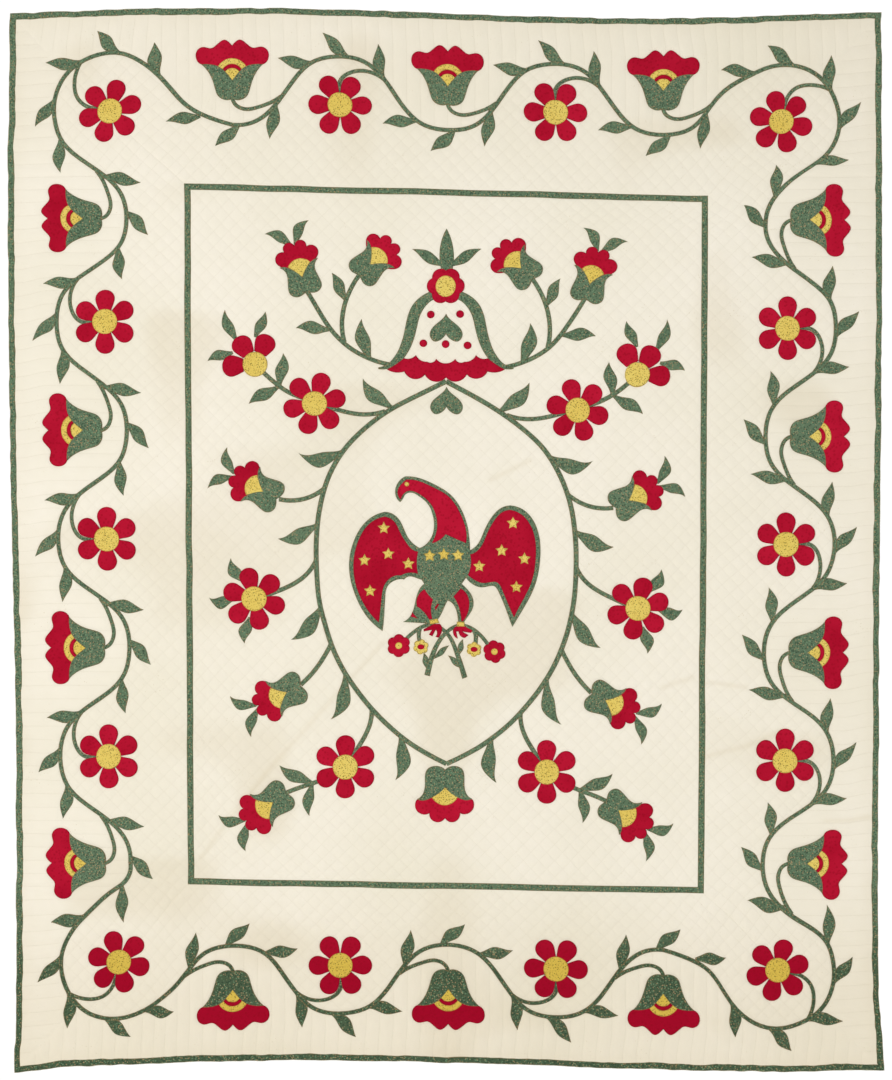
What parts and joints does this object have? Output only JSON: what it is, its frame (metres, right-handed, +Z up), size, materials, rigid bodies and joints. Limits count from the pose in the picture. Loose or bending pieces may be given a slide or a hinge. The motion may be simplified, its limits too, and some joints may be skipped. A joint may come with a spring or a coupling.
{
  "type": "hung applique quilt with rod and brackets",
  "caption": "Hand-appliqued bed quilt with a vine border and an eagle in an oval wreath, hung by a rod pocket from a round rod on wall hook brackets.",
  "frame": {"origin": "centre of the outer brackets' four screw holes, on the wall plane", "axes": "+Z up, +Y into the wall so that the quilt's face looks along -Y, +X to the viewer's right"},
  "size_m": [2.0312, 0.0628, 2.4612],
  "materials": {
    "ground_cotton": "plain weave cotton, quilted",
    "backing_cotton": "coarser plain weave cotton",
    "batting": "carded cotton wadding",
    "green_calico": "small-figured printed cotton",
    "red_cotton": "turkey red dyed cotton",
    "yellow_print": "small-figured printed cotton",
    "sleeve_cotton": "unbleached muslin",
    "rod_wood": "oiled hardwood",
    "bracket_steel": "matt black lacquer"
  },
  "bodies": {
    "brackets": {"wall_bracket_centre": "bracket_steel", "wall_bracket_left": "bracket_steel", "wall_bracket_right": "bracket_steel"},
    "rod": {"hanging_rod": "rod_wood"},
    "quilt": {"backing_centre": "backing_cotton", "backing_left": "backing_cotton", "backing_right": "backing_cotton", "batting": "batting", "bell_dots": "red_cotton", "bell_flower": "red_cotton", "bell_handles": "green_calico", "bell_scallop": "red_cotton", "bell_sprig": "green_calico", "binding_bottom": "green_calico", "binding_left": "green_calico", "binding_right": "green_calico", "binding_top": "green_calico", "blossom_petals": "red_cotton", "border_bottom": "ground_cotton", "border_leaves": "green_calico", "border_left": "ground_cotton", "border_right": "ground_cotton", "border_stems": "green_calico", "border_top": "ground_cotton", "border_vine": "green_calico", "bud_cups": "green_calico", "bud_fans": "yellow_print", "bud_petals": "red_cotton", "centre_field": "ground_cotton", "centre_leaves": "green_calico", "centre_stems": "green_calico", "eagle_ankle_bands": "yellow_print", "eagle_claws": "red_cotton", "eagle_eye": "yellow_print", "eagle_legs": "red_cotton", "eagle_neck": "red_cotton", "eagle_silhouette": "green_calico", "eagle_stars": "yellow_print", "eagle_wings": "red_cotton", "flower_centres": "yellow_print", "flower_petals": "red_cotton", "frame_strip_bottom": "green_calico", "frame_strip_left": "green_calico", "frame_strip_right": "green_calico", "frame_strip_top": "green_calico", "hanging_sleeve_left": "sleeve_cotton", "hanging_sleeve_right": "sleeve_cotton", "hearts": "green_calico", "oval_vine": "green_calico", "sprig_centres_gold": "yellow_print", "sprig_centres_red": "red_cotton", "sprig_flowers_gold": "yellow_print", "sprig_flowers_red": "red_cotton", "sprig_stems": "green_calico", "tulip_cups": "green_calico", "tulip_fans": "yellow_print", "tulip_inner_arcs": "red_cotton", "tulip_outer_arcs": "yellow_print", "tulip_petals": "red_cotton"}
  },
  "joints": [
    {"name": "rod_lift", "type": "slide", "parent": "brackets", "child": "rod", "axis": [0, 0, 1], "range_m": [0, 0.06]},
    {"name": "quilt_swing", "type": "hinge", "parent": "rod", "child": "quilt", "pos_m": [0, -0.036, 0.056], "axis": [-1, 0, 0], "range_deg": [0, 50]}
  ]
}
